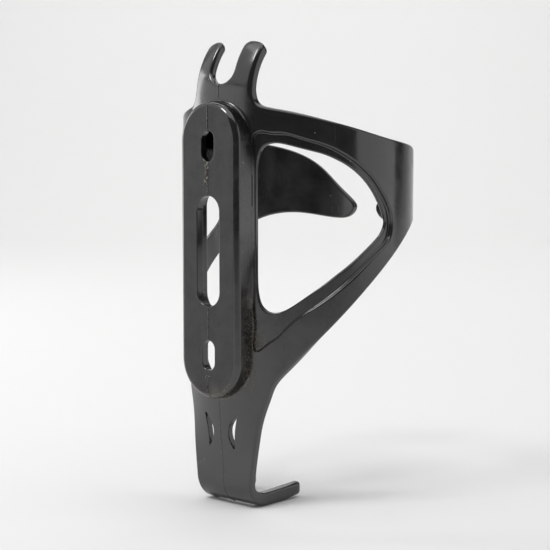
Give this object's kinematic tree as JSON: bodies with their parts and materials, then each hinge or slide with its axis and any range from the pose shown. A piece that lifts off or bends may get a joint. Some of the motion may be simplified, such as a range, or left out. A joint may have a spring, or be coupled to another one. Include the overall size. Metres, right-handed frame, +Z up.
{
  "type": "water bottle cage",
  "caption": "Moulded plastic bicycle bottle cage: long slotted mounting pad, wrapping arms with triangular windows, eared neck and a forked foot.",
  "frame": {"origin": "midway between the two bolt slots, on the pad's mounting face", "axes": "X right, Y from the bicycle frame towards the bottle, Z up along the bottle's axis"},
  "size_m": [0.074, 0.0785, 0.144],
  "materials": {
    "gloss_black": "glossy black moulded plastic",
    "satin_black": "satin black moulded plastic, lightly textured and scuffed"
  },
  "bodies": {
    "frame_plate": {"mounting_pad": "satin_black", "spine_plate": "gloss_black", "neck_fork": "gloss_black", "tongue": "gloss_black", "foot_fork": "gloss_black"},
    "right_arm_body": {"right_arm": "gloss_black", "right_window_rim": "gloss_black"},
    "left_arm_body": {"left_arm": "gloss_black", "left_window_rim": "gloss_black"}
  },
  "joints": [
    {"name": "right_arm_flex", "type": "hinge", "parent": "frame_plate", "child": "right_arm_body", "pos_m": [0.01215, 0.0068, 0], "axis": [0, 0, -1], "range_deg": [0, 6], "stiffness_Nm_per_rad": 6},
    {"name": "left_arm_flex", "type": "hinge", "parent": "frame_plate", "child": "left_arm_body", "pos_m": [-0.01215, 0.0068, 0], "axis": [0, 0, 1], "range_deg": [0, 6], "stiffness_Nm_per_rad": 6}
  ]
}
